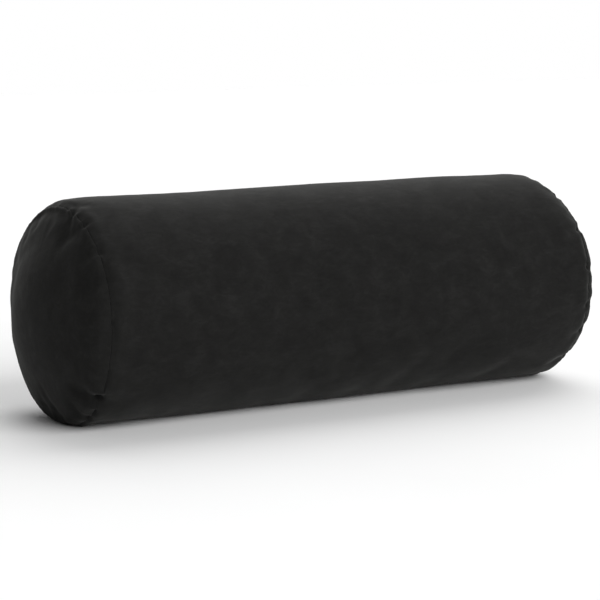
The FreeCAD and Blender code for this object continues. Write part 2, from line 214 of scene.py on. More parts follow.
def dome_outline():
    """An end panel: a dome up to its middle."""
    t = np.linspace(DOME_EDGE, 0.0, 160)
    dome = np.stack([SEAM_X + DOME_RISE * np.cos(t) ** DOME_POWER, SEAM_R * np.sin(t)], axis=1)
    step = dome[0] - dome[1]
    heading = math.atan2(step[1], step[0])
    radius = (dome[0, 0] - SEAM_X - SEAM_GAP) / (math.sin(heading) + 1)
    return Outline(turn(dome[0], heading, 1.5 * math.pi, radius), dome)


# ---- mesh building ----
def mesh_object(name, vertices, faces, smooth=True):
    """A new object in the scene, with its faces turned outwards."""
    mesh = bpy.data.meshes.new(name)
    mesh.from_pydata(np.asarray(vertices, float).reshape(-1, 3).tolist(), [], faces)
    mesh.validate()
    mesh.polygons.foreach_set("use_smooth", [smooth] * len(mesh.polygons))
    turn_outward(mesh)
    mesh.update()
    piece = bpy.data.objects.new(name, mesh)
    bpy.context.scene.collection.objects.link(piece)
    return piece


def turn_outward(mesh):
    """Flips every face if together they face the middle of the bolster."""
    count = len(mesh.polygons)
    centre, normal, area = np.empty(3 * count), np.empty(3 * count), np.empty(count)
    mesh.polygons.foreach_get("center", centre)
    mesh.polygons.foreach_get("normal", normal)
    mesh.polygons.foreach_get("area", area)
    away = centre.reshape(-1, 3) - [0.0, 0.0, AXIS_Z]
    if (area * (away * normal.reshape(-1, 3)).sum(axis=1)).sum() < 0:
        mesh.flip_normals()


def grid_faces(rows, columns, wrap=False):
    """Four-sided faces of a grid of points. A wrapped grid joins its last column to its first."""
    joined = columns if wrap else columns - 1
    i, j = (index.ravel() for index in np.indices((rows - 1, joined)))
    k = (j + 1) % columns
    corners = [i * columns + j, i * columns + k, (i + 1) * columns + k, (i + 1) * columns + j]
    return np.stack(corners, axis=1).tolist()


def tube_faces(rows, columns, turn=-1):
    """A wrapped grid closed by a flat face at both ends. turn is 1 if its columns run up the back."""
    first, last = list(range(columns)), list(range((rows - 1) * columns, rows * columns))
    return grid_faces(rows, columns, True) + [first[::turn], last[::-turn]]


def grid_object(name, points, wrap=False):
    return mesh_object(name, points, grid_faces(*points.shape[:2], wrap))


def dome_object(name, points):
    """A wrapped grid whose last row closes on one middle point."""
    rows, columns = points.shape[:2]
    middle, last = rows * columns, (rows - 1) * columns
    fan = [[last + j, last + (j + 1) % columns, middle] for j in range(columns)]
    vertices = np.concatenate([points.reshape(-1, 3), [points[-1].mean(axis=0)]])
    return mesh_object(name, vertices, grid_faces(rows, columns, True) + fan)


def thread_object(name, paths, radius, side, sides=6, closed=False):
    """Round threads along equal-length paths. side is a direction that no path ever follows."""
    paths = paths.reshape(-1, *paths.shape[-2:])
    count, length = paths.shape[:2]
    if closed:
        along = np.roll(paths, -1, axis=1) - np.roll(paths, 1, axis=1)
    else:
        along = np.gradient(paths, axis=1)
    along = unit(along)
    across = unit(np.cross(along, np.broadcast_to(side, paths.shape)))
    third = np.cross(along, across)
    angle = ring_angles(sides)[0, :, None]
    rings = np.cos(angle) * across[:, :, None] + np.sin(angle) * third[:, :, None]
    size = length * sides
    if closed:
        thread = np.array(grid_faces(length + 1, sides, True)) % size
        faces = np.concatenate([thread + start for start in range(0, count * size, size)]).tolist()
    else:
        faces = [[start + corner for corner in face] for start in range(0, count * size, size)
                 for face in tube_faces(length, sides)]
    return mesh_object(name, paths[:, :, None] + radius * rings, faces)


def give_thickness(piece, thickness):
    solid = piece.modifiers.new("cloth thickness", "SOLIDIFY")
    solid.thickness = thickness
    solid.offset = -1.0


def smoothed(field, passes, wrap):
    """Averages a grid with its neighbours."""
    for _ in range(passes):
        padded = np.pad(field, ((1, 1), (0, 0)), mode="edge")
        field = (padded[:-2] + 2 * padded[1:-1] + padded[2:]) / 4
        padded = np.pad(field, ((0, 0), (1, 1)), mode="wrap" if wrap else "edge")
        field = (padded[:, :-2] + 2 * padded[:, 1:-1] + padded[:, 2:]) / 4
    return field


def ring_angles(count):
    return np.linspace(0, 2 * math.pi, count, endpoint=False)[None]


def outward(points, wrap=False):
    """Outward unit normals of a grid of points round the bolster."""
    down = np.gradient(points, axis=0)
    if wrap:
        over = np.roll(points, -1, axis=1) - np.roll(points, 1, axis=1)
    else:
        over = np.gradient(points, axis=1)
    normal = unit(np.cross(down, over))
    away = points - [0.0, 0.0, AXIS_Z]
    away[..., 0] = np.where(np.abs(points[..., 0]) > SEAM_X, away[..., 0], 0.0)
    return normal * np.sign((normal * away).sum(axis=-1).mean())


# ---- the shape of the filled cover ----
# Each pucker: degrees from the top towards the front, depth, half width, reach on the tube and
# reach on the end panel, all in mm, and how far it leans.
LEFT_PUCKERS = [(-6, 0.8, 3.4, 8, 8, 0.2), (17, 3.2, 3.6, 6, 17, 0.7), (31, 2.4, 2.8, 9, 6, 0.2),
                (51, 2.8, 3.4, 8, 7, -0.2), (88, 2.0, 2.6, 6, 5, 0.1), (131, 8.5, 5.0, 11, 11, 0.0),
                (148, 1.8, 3.6, 9, 5, -0.2), (168, 1.6, 4.0, 12, 7, 0.0)]
RIGHT_PUCKERS = [(9, 2.6, 3.5, 10, 9, 0.0), (30, 2.6, 3.2, 9, 9, 0.0), (57, 4.0, 3.2, 19, 8, -0.35),
                 (80, 3.2, 3.0, 10, 8, 0.3), (91, 2.0, 2.6, 7, 8, 0.0), (101, 3.4, 3.0, 11, 8, -0.3),
                 (117, 3.2, 3.0, 13, 8, -0.3), (139, 4.0, 3.2, 12, 9, 0.2), (158, 2.6, 3.4, 9, 9, 0.0)]


def all_puckers(main, seed):
    """The main puckers, with small ones filled in round the rest of the seam."""
    rng = np.random.default_rng(seed)
    spacing, clear, full_size_gap = 11.0, 9.0, 40.0
    puckers = list(main)
    for angle in np.arange(-178.0, 180.0, spacing):
        angle += rng.uniform(-4.0, 4.0)
        size = rng.uniform(0.0, 1.0) ** 2
        reach, cap_reach, lean = rng.uniform(6, 15), rng.uniform(4, 10), rng.uniform(-0.4, 0.4)
        width = rng.uniform(2.4, 4.0)
        gap = min(abs(angle - pucker[0]) for pucker in main)
        if gap > clear:
            depth = (0.3 + 2.4 * size) * min(gap / full_size_gap, 1.0)
            puckers.append((angle, depth, width, reach, cap_reach, lean))
    return puckers


PUCKERS = {LEFT: all_puckers(LEFT_PUCKERS, 11), RIGHT: all_puckers(RIGHT_PUCKERS, 23)}


def pucker_depth(distance, seam_angle, end, on_cap):
    """How far the puckers of one end seam pull the cloth in. Each is a valley between two lips."""
    lip_place, lip_height = 1.9, 0.28
    depth = np.zeros(np.broadcast(distance, seam_angle).shape)
    for degrees, deep, width, reach, cap_reach, lean in PUCKERS[end]:
        length = (cap_reach if on_cap else reach) * MM
        away = np.maximum(distance, 0.0)
        offset = seam_angle - math.radians(degrees)
        offset = (offset + math.pi) % (2 * math.pi) - math.pi
        sideways = offset * SEAM_R - lean * away * (1 if on_cap else -1)
        wide = width * MM * (1.0 + 0.6 * away / length)
        valley = np.exp(-((sideways / wide) ** 2))
        lips = sum(np.exp(-((sideways / wide - place) ** 2)) for place in (lip_place, -lip_place))
        depth += deep * MM * np.exp(-((away / length) ** 1.4)) * (valley - lip_height * lips)
    return depth


def crinkle(distance, seam_angle, end):
    """Fine unevenness where the gathered cloth runs into an end seam."""
    height, reach = 0.35 * MM, 4.5 * MM
    arc = seam_angle * SEAM_R / MM
    fine = (np.sin(arc / 0.93 + 2.0 * end) * np.sin(arc / 5.1 + 1.0)
            + 0.8 * np.sin(arc / 1.57 + 0.7 * end) * np.sin(arc / 7.7 + end)
            + 0.9 * np.sin(arc / 2.6 + 3.0 * end) * np.sin(arc / 11.0))
    return height * fine * np.exp(-np.maximum(distance, 0) / reach)


def waves(x, angle):
    """Slow unevenness of the filling."""
    fullness = 0.8 * MM
    slow = (0.50 * np.sin(13.0 * x + 2.0 * angle + 0.6) + 0.35 * np.sin(29.0 * x - 3.0 * angle + 2.1)
            + 0.25 * np.sin(47.0 * x + 5.0 * angle + 4.0) + 0.20 * np.sin(8.0 * x - 7.0 * angle))
    return fullness * (1 + slow)


def waist(x, seam_angle):
    """The tube is drawn in along its top, left of the middle, and its filling sinks to the bottom."""
    depth, place, half_length, belly = 1.6 * MM, -110 * MM, 85 * MM, 200 * MM
    top = np.maximum(np.cos(seam_angle), 0) * np.exp(-(((x - place) / half_length) ** 2))
    bottom = np.maximum(-np.cos(seam_angle), 0) ** 2 * np.exp(-((x / belly) ** 2))
    return depth * (bottom - top)


def slump(distance, seam_angle, end, on_cap):
    """The end seams hang in at their tops and are filled out elsewhere, the left one most in front."""
    away = np.maximum(distance, 0) / MM
    turned = np.abs(seam_angle)
    top = np.maximum(np.cos(seam_angle - 0.15 * end), 0) ** 2 * np.exp(-((away / 15) ** 2))
    full = smooth_step(0.35, 1.3, turned)
    corner = (SEAM_X - CORNER_X) / MM
    narrow = np.exp(-((away / 9) ** 2)) if on_cap else np.clip(1 - away / corner, 0.0, 1.0) ** 2
    if end == RIGHT:
        drop, fullness = 3.6 * MM, 3.6 * MM
        full = full * (1 - 0.8 * smooth_step(1.7, 2.4, turned)) * narrow
    else:
        drop, fullness = 1.8 * MM, 5.2 * MM
        wide = (1 + away / 50) * np.exp(-((away / 42) ** 2))
        front = smooth_step(0.0, 0.8, np.sin(seam_angle)) if on_cap else 0.0
        full = full * (narrow + (wide - narrow) * front)
    return fullness * full - drop * top


def away_from_zip(x, angle):
    """0 on the flat strip round the zip, 1 where the cover is free."""
    across = RADIUS * np.abs((angle + math.pi) % (2 * math.pi) - math.pi)
    return np.maximum(smooth_step(14 * MM, 34 * MM, across),
                      smooth_step(262 * MM, 280 * MM, np.abs(x)))


def from_top(angle):
    """Seam angle, between -180 and 180 degrees, of an angle counted from the zip."""
    return (angle - math.pi / 2 - ZIP_ANGLE + math.pi) % (2 * math.pi) - math.pi


def displaced(points, normals, offset, distance):
    """Moves a sheet along its normals, but straight away from the axis close to an end seam."""
    radial = points - [0.0, 0.0, AXIS_Z]
    radial[..., 0] = 0.0
    radial = unit(radial)
    share = np.broadcast_to(smooth_step(0.0, 6 * MM, distance), offset.shape)[..., None]
    return points + unit(radial + (normals - radial) * share) * offset[..., None]


def seam_unevenness(distance, seam_angle, end, on_cap):
    """What the gathered seam does to the cloth beside it."""
    return crinkle(distance, seam_angle, end) - pucker_depth(distance, seam_angle, end, on_cap)


def seam_shift(seam_angle, end):
    """How far an end seam lies outside its plain ring, the same for both panels."""
    return seam_unevenness(0.0, seam_angle, end, True) + slump(0.0, seam_angle, end, True)


def tube_offset(x, distance, angle, end):
    """How far the tube's cloth stands off its plain outline."""
    seam_angle = from_top(angle)
    near_seam = np.exp(-np.maximum(distance, 0) / (9 * MM))
    offset = (waves(x, angle) + waist(x, seam_angle)) * (1 - near_seam)
    offset = offset + seam_unevenness(distance, seam_angle, end, False)
    offset = offset + slump(distance, seam_angle, end, False)
    return offset * away_from_zip(x, angle) * np.exp(np.minimum(distance, 0) / FLANGE_FADE)


def cap_sag(radius, seam_angle):
    """The filling sinks in an end panel and leaves its upper and hinder parts slack."""
    upper_sag, hinder_sag, rim_width = 9.0 * MM, 8.0 * MM, 42 * MM
    height = np.cos(seam_angle) * radius / SEAM_R
    behind = 1 - np.maximum(np.sin(seam_angle), 0)
    rim = smooth_step(0.0, rim_width, SEAM_R - radius)
    return -(hinder_sag * behind + upper_sag * height) * (radius / SEAM_R) ** 2 * rim


def dome_offset(distance, angle, radius, end):
    """How far an end panel's cloth stands off its plain outline. The filling sags in it."""
    seam_angle = from_top(angle)
    sag = cap_sag(radius, seam_angle) + slump(distance, seam_angle, end, True)
    slow = np.sin(2 * seam_angle + 1.0 + end) + 0.6 * np.sin(3 * seam_angle + 35 * radius)
    slow = 0.7 * MM * slow * smooth_step(0.0, 25 * MM, distance) * radius / SEAM_R
    offset = sag + slow + seam_unevenness(distance, seam_angle, end, True)
    return offset * np.exp(np.minimum(distance, 0) / FLANGE_FADE)


def cover_rings(outline, end, on_cap):
    """Rings of a coarse cover from one end seam, over its end panel or half way along the tube."""
    start, stop = (0.0, outline.length - 2 * MM) if on_cap else (2 * MM, outline.length)
    distance = np.arange(start, stop, 4.5 * MM)[:, None]
    angle = ring_angles(144)
    x, radius = outline.at(distance)
    points = around(end * x, radius, angle)
    if on_cap:
        offset = dome_offset(distance, angle, radius, end)
    else:
        offset = tube_offset(end * x, distance, angle, end)
    return displaced(points, outward(points, True), offset, distance)


def coarse_cover():
    """The whole cover as one evenly meshed closed shape, and the places of its points.

    It is roughened so that it swells freely.
    """
    tube, dome = tube_outline(), dome_outline()
    points = np.concatenate([cover_rings(dome, LEFT, True)[::-1], cover_rings(tube, LEFT, False),
                             cover_rings(tube, RIGHT, False)[::-1], cover_rings(dome, RIGHT, True)])
    cover = mesh_object("cover_trial", points, tube_faces(*points.shape[:2], turn=1))
    remesh = cover.modifiers.new("remesh", "REMESH")
    remesh.mode = "VOXEL"
    remesh.voxel_size = 5 * MM
    apply_modifiers(cover)
    places = vertex_places(cover)
    places += np.random.default_rng(5).normal(0.0, 0.15 * MM, places.shape)
    cover.data.vertices.foreach_set("co", places.ravel())
    return cover, places


def apply_modifiers(piece):
    evaluated = piece.evaluated_get(bpy.context.evaluated_depsgraph_get())
    mesh = bpy.data.meshes.new_from_object(evaluated)
    piece.modifiers.clear()
    piece.data = mesh


def vertex_places(piece):
    return np.array([v.co for v in piece.data.vertices])


def hold_cover(cover, places):
    """Holds the strip at the zip and the part on the ground, and gathers the end seams."""
    held = cover.vertex_groups.new(name="held")
    gathered = cover.vertex_groups.new(name="gathered")
    away = places - [0.0, 0.0, AXIS_Z]
    along = np.abs(places[:, 0])
    at_back = (away @ np.array(BACK_OUT) > 0.5 * RADIUS) * (along < CORNER_X)
    strip = 1 - smooth_step(16 * MM, 34 * MM, np.abs(away @ np.array(BACK_UP)))
    resting = 1 - smooth_step(1 * MM, 4 * MM, places[:, 2])
    hold = np.maximum(strip * at_back, resting)
    at_rim = np.hypot(away[:, 1], away[:, 2]) > SEAM_R - 14 * MM
    gather = np.exp(-((along - SEAM_X) / (6 * MM)) ** 2) * at_rim
    for i in range(len(places)):
        if hold[i] > 0.01:
            held.add([i], float(hold[i]), "REPLACE")
        gathered.add([i], float(gather[i]), "REPLACE")


CLOTH_SETTINGS = {"quality": 6, "mass": 0.3, "tension_stiffness": 25, "compression_stiffness": 25,
                  "shear_stiffness": 10, "bending_stiffness": 1.5, "tension_damping": 10,
                  "use_pressure": True, "uniform_pressure_force": 4.0,
                  "vertex_group_mass": "held", "vertex_group_shrink": "gathered",
                  "shrink_min": -0.008, "shrink_max": 0.03}


def simulate_cover():
    """Swells a coarse cover under pressure as cloth. Returns a search tree of the result."""
    cover, start = coarse_cover()
    hold_cover(cover, start)
    settings = cover.modifiers.new("cloth", "CLOTH").settings
    for name, value in CLOTH_SETTINGS.items():
        setattr(settings, name, value)
    settings.effector_weights.gravity = 0.0
    last_frame = 20
    for moment in range(1, last_frame + 1):
        bpy.context.scene.frame_set(moment)
    apply_modifiers(cover)
    bpy.context.scene.frame_set(1)

    moved = vertex_places(cover) - start
    far = np.linalg.norm(moved, axis=1, keepdims=True)
    moved *= np.minimum(1.0, MAX_SWELL / np.maximum(far, 1e-9))
    cover.data.vertices.foreach_set("co", (start + moved).ravel())
    cover.modifiers.new("finer", "SUBSURF").levels = 1
    apply_modifiers(cover)
    tree = BVHTree.FromPolygons([v.co for v in cover.data.vertices],
                                [tuple(p.vertices) for p in cover.data.polygons])
    bpy.data.objects.remove(cover)
    return tree


def swollen(points, normals, offset, distance, wrap):
    """Adds the simulated cover's unevenness to an offset. Each ring keeps its own mean size."""
    if not cover_tree:
        return offset
    reach = 15 * MM
    change = np.zeros(offset.shape)
    for i, j in np.ndindex(*offset.shape):
        inside = Vector(points[i, j] - normals[i, j] * reach)
        hit = cover_tree.ray_cast(inside, Vector(normals[i, j]), 2 * reach)
        if hit[0] is not None:
            change[i, j] = hit[3] - reach - offset[i, j]
    change -= np.median(change, axis=1, keepdims=True)
    change = smoothed(np.clip(change, -MAX_SWELL, MAX_SWELL), 2, wrap)
    return offset + change * smooth_step(0.0, 8 * MM, distance)


def panel_rows(inside, largest, length):
    """Distances from an end seam: over the allowance, then outwards in growing steps."""
    return np.concatenate([-np.array(inside) * MM, graded(0.7 * MM, 1.06, largest, length)])


def body_angles(x):
    """Angles of the body panel's columns, densest at the zip. Past the zip its edges meet."""
    closing = smooth_step(SLOT_END, SLOT_END + 6 * MM, np.abs(x))
    edge_y = (FOLD_Y + CLOTH) * (1 - closing) + fold_radius(x) * 1.05 * closing
    first = np.arcsin(edge_y / FACET_R)
    half_round = math.pi * RADIUS
    half = graded(0.8 * MM, 1.06, 2.2 * MM, half_round) / half_round
    share = np.concatenate([half, 2 - half[-2::-1]])[None] / 2
    return first + (2 * math.pi - 2 * first) * share


def stitch_groove(x, angle):
    """How far the topstitches pull the cloth in beside the zip."""
    y = np.minimum(angle, 2 * math.pi - angle) * FACET_R
    groove = 0.35 * MM * np.exp(-(((y - TOPSTITCH_Y) / (0.9 * MM)) ** 2))
    return groove * (np.abs(x) < SLOT_END + 2 * MM)


def body_points():
    """The body panel's cloth from one folded zip edge, round the bolster, to the other."""
    outline = tube_outline()
    half = panel_rows([8.9, 6.0, 4.0, 2.6, 1.8, 1.3, 0.9, 0.6, 0.3], 7 * MM, outline.length)
    distance = np.concatenate([half, half[-2::-1]])[:, None]
    end = np.repeat([LEFT, RIGHT], [len(half), len(half) - 1])[:, None]
    x, radius = outline.at(distance)
    x = x * end
    angle = body_angles(x)
    points = around(x, radius, angle)
    normals = outward(points)
    offset = np.where(end == LEFT, tube_offset(x, distance, angle, LEFT),
                      tube_offset(x, distance, angle, RIGHT))
    change = swollen(points, normals, offset, distance, False) - offset
    offset = offset + change * away_from_zip(x, angle) - stitch_groove(x, angle)
    points = displaced(points, normals, offset, distance)
    rest_on(GROUND, points, 1 * MM)
    return points, x[:, 0]


def fold_radius(x):
    """The folded edges at the zip get thin where they run into the end seams."""
    return CLOTH * (1 - 0.9 * smooth_step(264 * MM, 284 * MM, np.abs(x)))


def folded_edge(edge, x, side):
    """Turns the cloth under at one zip edge and lays the hem flat inside."""
    radius = fold_radius(x)[:, None, None]
    out, slotward = np.array(BACK_OUT), -side * np.array(BACK_UP)
    bend = np.linspace(0, math.pi, 7)[1:][None, :, None]
    fold = edge[:, None] + radius * (slotward * np.sin(bend) - out * (1 - np.cos(bend)))
    width = (HEM_Y - FOLD_Y) * (1 - smooth_step(262 * MM, 276 * MM, np.abs(x))) + 0.6 * MM
    share = np.array([0.12, 0.4, 0.7, 1.0])[None, :, None]
    hem = fold[:, -1:] - slotward * width[:, None, None] * share
    return np.concatenate([fold, hem], axis=1)


def make_body_panel(cloth):
    """The sheet round the tube, with its edges turned under at the zip."""
    points, x = body_points()
    upper = folded_edge(points[:, 0], x, UPPER)[:, ::-1]
    lower = folded_edge(points[:, -1], x, LOWER)
    piece = grid_object("body_panel", np.concatenate([upper, points, lower], axis=1))
    finish_cloth(piece, cloth, "cover_body_panel")


def make_end_panel(cloth, end, name):
    """The domed disc sewn into one end."""
    outline = dome_outline()
    inside = [9.5, 6.5, 4.2, 2.8, 1.9, 1.4, 1.0, 0.6, 0.3]
    distance = panel_rows(inside, 4.5 * MM, outline.length - 1.5 * MM)[:, None]
    angle = ring_angles(320)
    x, radius = outline.at(distance)
    points = around(end * x, radius, angle)
    normals = outward(points, True)
    offset = dome_offset(distance, angle, radius, end)
    points = displaced(points, normals, swollen(points, normals, offset, distance, True), distance)
    rest_on(GROUND, points, 1 * MM)
    piece = dome_object(f"end_panel_{name}", points)
    finish_cloth(piece, cloth, f"cover_end_panel_{name}")


def finish_cloth(piece, cloth, node):
    give_thickness(piece, CLOTH * 0.9)
    finish_piece(piece, cloth, node)


def finish_piece(piece, material, node):
    """Gives a piece its material and shows it in place of a CAD node."""
    piece.data.materials.append(material)
    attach(piece, "bolster")
    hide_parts(node)


# ---- zip ----
def sew(node, thread, name, paths, radius, side, sides=6, closed=False):
    """Shows a CAD node as thread along paths."""
    piece = thread_object(name, paths, radius, side, sides, closed)
    finish_piece(piece, thread, node)
    return piece


def parts_with_slide(piece, side):
    """Gives a piece of one half of the chain its own copy of its mesh.
    """
    opening, still = 1.5 * MM, COIL_RIGHT - 8 * MM
    anchor = on_back(still, -side * COIL_SPINE, 0.0)
    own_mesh(piece)


def make_tape(tape, side, name):
    """Woven tape, a little raised where the coil is sewn to it."""
    slack, ridge_height, ridge_y, ridge_width = 0.12 * MM, 0.09 * MM, 3.8 * MM, 0.7 * MM
    x = np.linspace(-TAPE_END, TAPE_END, 246)[:, None]
    y = np.array([1.5, 2.2, 3.1, 3.6, 4.2, 5.0, 6.5, 9.0, 12.0, 15.0, 15.6, 16.0])[None] * MM
    ridge = ridge_height * np.exp(-(((y - ridge_y) / ridge_width) ** 2))
    lift = ridge * (1 + 0.3 * np.sin(x / (9 * MM)))
    piece = grid_object(f"zip_tape_{name}_weave", on_back(x, -side * y, TAPE_Z - slack + lift))
    give_thickness(piece, TAPE_T - 0.1 * MM)
    finish_piece(piece, tape, f"zip_tape_{name}")
    parts_with_slide(piece, side)


def make_coil(nylon, side, name):
    """Half of the chain: a flattened spiral of nylon whose turns cross the zip's middle."""
    wire, middle_z, half_height, per_turn = 0.31 * MM, -0.9 * MM, 0.78 * MM, 14
    turns = int((COIL_RIGHT - COIL_LEFT) / COIL_PITCH) - 1
    phase = np.arange(turns * per_turn + 1) / per_turn
    stagger = 0.25 if side == UPPER else 0.75
    x = COIL_LEFT + COIL_PITCH * (phase + stagger + 0.16 * np.sin(4 * math.pi * phase))
    parted = COIL_PARTING * (1 - smooth_step(SLIDER_X - 2.0 * MM, SLIDER_X + 1.5 * MM, x))
    swing = np.cos(2 * math.pi * phase)
    depth = COIL_SPINE - COIL_HEAD
    y = COIL_HEAD + depth / 2 + depth / 2 * np.sign(swing) * np.abs(swing) ** 0.7
    y = y + parted * smooth_step(COIL_SPINE, COIL_HEAD, y)
    z = middle_z + half_height * np.sin(2 * math.pi * phase)
    piece = sew(f"zip_coil_{name}", nylon, f"zip_coil_{name}_wire", on_back(x, -side * y, z), wire,
                (1.0, 0.0, 0.0))
    parts_with_slide(piece, side)


def stitch_places(start, stop, shares, step=STITCH):
    """Places along a row of stitches, for shares of each stitch's length."""
    return start + (np.arange(int((stop - start) / step))[:, None] + np.array(shares)[None]) * step


def stitch_paths(start, stop, step, y, top, dip, bulge):
    """Lockstitches in a row: each lies on the cloth and dives in at both ends."""
    x = stitch_places(start, stop, [0.04, 0.06, 0.12, 0.25, 0.5, 0.75, 0.88, 0.94, 0.96], step)
    half = [-dip, -0.3 * dip, 0.5 * bulge, 0.9 * bulge]
    z = np.array(half + [bulge] + half[::-1])
    return on_back(x, y, top + z[None])


def make_topstitch(thread, side, name):
    """Needle thread on the cloth and bobbin thread under the tape."""
    reach, y = SLOT_END + 1.5 * MM, -side * TOPSTITCH_Y
    tape_back = TAPE_Z - TAPE_T - 0.1 * MM
    needle = stitch_paths(-reach, reach, STITCH, y, -0.3 * MM, 0.9 * MM, 0.28 * MM)
    bobbin = stitch_paths(-reach, reach, STITCH, y, tape_back, -0.8 * MM, -0.2 * MM)
    sew(f"zip_topstitch_{name}", thread, f"zip_topstitch_{name}_thread",
        np.concatenate([needle, bobbin]), 0.21 * MM, BACK_UP)


def make_coil_sewing(thread, side, name):
    """Stitches that cross the coil's spine and hold it on the tape."""
    start, stop, y = COIL_LEFT + 1 * MM, COIL_RIGHT - 1 * MM, 2.62 * MM
    paths = stitch_paths(start, stop, 2 * COIL_PITCH, -side * y, 0.12 * MM, 2.3 * MM, 0.1 * MM)
    piece = sew(f"coil_sewing_thread_{name}", thread, f"coil_sewing_{name}", paths, 0.16 * MM, BACK_UP)
    parts_with_slide(piece, side)


def make_bartack(thread, end, name):
    """Dense zigzag that closes off one end of the zip opening."""
    passes, per_pass, length, reach = 12, 14, 3.0 * MM, TOPSTITCH_Y + 0.3 * MM
    corners = np.tile([-reach, reach], passes)
    place = np.linspace(0, len(corners) - 1, (len(corners) - 1) * per_pass + 1)
    y = np.interp(place, np.arange(len(corners)), corners)
    x = end * (SLOT_END + 3.2 * MM) + (place / place[-1] - 0.5) * length
    rise = np.sqrt(np.maximum(1 - (np.abs(y) / (reach + 0.05 * MM)) ** 8, 0))
    z = 0.30 * MM * rise - 0.5 * MM * (1 - rise) + 0.07 * MM * np.sin(place * 3.0)
    sew(f"zip_bartack_{name}", thread, f"zip_bartack_{name}_thread", on_back(x, y, z), 0.19 * MM,
        BACK_OUT)


def squared(wave):
    """Makes a sine or cosine trace a rounded square."""
    return np.sign(wave) * np.abs(wave) ** 0.5


def make_top_stop(enamel, side, name):
    """A metal clip folded over one coil's end."""
    middle_y, half_width, middle_z, half_height = 2.5 * MM, 1.1 * MM, -0.85 * MM, 1.15 * MM
    low, high = (corner.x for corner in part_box(f"zip_top_stop_{name}"))
    along = np.linspace(-1.0, 1.0, 9)[:, None]
    x = (low + high) / 2 + (high - low) / 2 * np.sign(along) * np.abs(along) ** 0.8
    bend = ring_angles(28)
    rounding = np.sqrt(1 - 0.35 * np.abs(along) ** 6)
    y = middle_y + half_width * squared(np.cos(bend)) * rounding
    z = middle_z + half_height * squared(np.sin(bend)) * rounding
    points = on_back(x, -side * y, z)
    piece = mesh_object(f"zip_top_stop_{name}_clip", points, tube_faces(*points.shape[:2]))
    finish_piece(piece, enamel, f"zip_top_stop_{name}")
    parts_with_slide(piece, side)


# ---- seams inside the cover ----
def ring_points(x, radius, turn_angle):
    """Points on plain rings round the axis. The angle is a seam angle."""
    x, radius, turn_angle = np.broadcast_arrays(x, radius, turn_angle)
    return np.stack([x, -radius * np.sin(turn_angle), AXIS_Z + radius * np.cos(turn_angle)], axis=-1)


def ring_direction(turn_angle):
    """Which way a ring runs at an angle."""
    return ring_points(0.0, 1.0, turn_angle + math.pi / 2) - [0, 0, AXIS_Z]


def wound_thread(loops, per_loop):
    """How far a thread has wound at each point, and how far round the ring it has come."""
    wound = 2 * math.pi * np.arange(loops * per_loop) / per_loop
    return wound, wound / loops


def make_end_seam_thread(thread, end, name):
    """Lockstitches on both sides of the sewn allowances."""
    depth = 2.8 * MM
    ring = SEAM_R - depth
    count = int(2 * math.pi * ring / STITCH)
    share = np.array([0.06, 0.2, 0.5, 0.8, 0.94])
    angle = 2 * math.pi * (np.arange(count)[:, None] + share[None]) / count - math.pi
    radius = ring + seam_shift(angle, end) * math.exp(-depth / FLANGE_FADE)
    height = CLOTH + np.array([-0.3, 0.2, 0.25, 0.2, -0.3])[None] * MM
    paths = np.concatenate([ring_points(end * (SEAM_X - height), radius, angle),
                            ring_points(end * (SEAM_X + height), radius, angle)])
    outwards = (paths - [0, 0, AXIS_Z]) * [0, 1, 1]
    sew(f"end_seam_thread_{name}", thread, f"end_seam_stitches_{name}", paths, 0.2 * MM, outwards)


def make_overlock(thread, end, name):
    """Thread looped round the raw edges of both allowances."""
    depth, half_width, half_bite = 8 * MM, 1.35 * MM, 1.7 * MM
    wound, angle = wound_thread(240, 12)
    angle = angle - math.pi
    x = SEAM_X + half_width * np.cos(wound)
    radius = SEAM_R - ALLOWANCE + 1.2 * MM + half_bite * np.sin(wound)
    radius = radius + seam_shift(angle, end) * math.exp(-depth / FLANGE_FADE)
    sew(f"end_seam_overlock_{name}", thread, f"end_seam_overlock_{name}_thread",
        ring_points(end * x, radius, angle), 0.18 * MM, ring_direction(angle), 5, closed=True)


def make_back_seam(thread, end, name):
    """Ladder of stitches that joins the panel's two edges beyond the zip."""
    x = end * stitch_places(TAPE_END + 1 * MM, CORNER_X - 1 * MM, [0.0, 0.09, 0.45, 0.81, 0.9])
    y = np.array([-1.6, -1.7, 0.0, 1.7, 1.6])[None] * MM
    z = -2.3 * MM + np.array([0.5, 0.0, -0.1, 0.0, 0.5])[None] * MM
    sew(f"back_seam_thread_{name}", thread, f"back_seam_stitches_{name}", on_back(x, y, z),
        0.2 * MM, np.array(BACK_OUT) * 0.3 + [1.0, 0.0, 0.0])


# ---- inner cushion ----
LINER_R = RADIUS - 1.4 * MM - INNER_SLACK
LINER_NECK = SEAM_R - ALLOWANCE - 2.6 * MM
LINER_JOIN = SEAM_X - 1.5 * MM
LINER_STRAIGHT = CORNER_X - 10 * MM     # half length of the liner's straight part
PAD_X = CORE_HIGH.x + 0.5 * MM          # where the wrap ends and the pads begin


def lumpy(points, size, height, seed):
    """Smooth unevenness for a soft layer, always inwards. Lumps are (size, height, seed)."""
    rng = np.random.default_rng(seed)
    total = np.zeros(points.shape[:-1])
    for _ in range(9):
        direction = unit(rng.normal(size=3)) * 2 * math.pi / (size * rng.uniform(0.6, 1.6))
        total += np.sin(points @ direction + rng.uniform(0, 6.3))
    return -height * (0.5 + total / 18)


def soft_tube(x, radius, angle, zip_depth, zip_cosine, lumps, level):
    """Straight part of an inner layer, resting on a level.

    It is pressed in behind the zip, where the angle's cosine is above a limit.
    """
    points = around(x, radius, angle)
    points -= np.array(BACK_OUT) * zip_depth * (np.cos(angle) > zip_cosine)[..., None]
    points += outward(points, True) * lumpy(points, *lumps)[..., None]
    rest_on(level, points, 2 * MM)
    return points


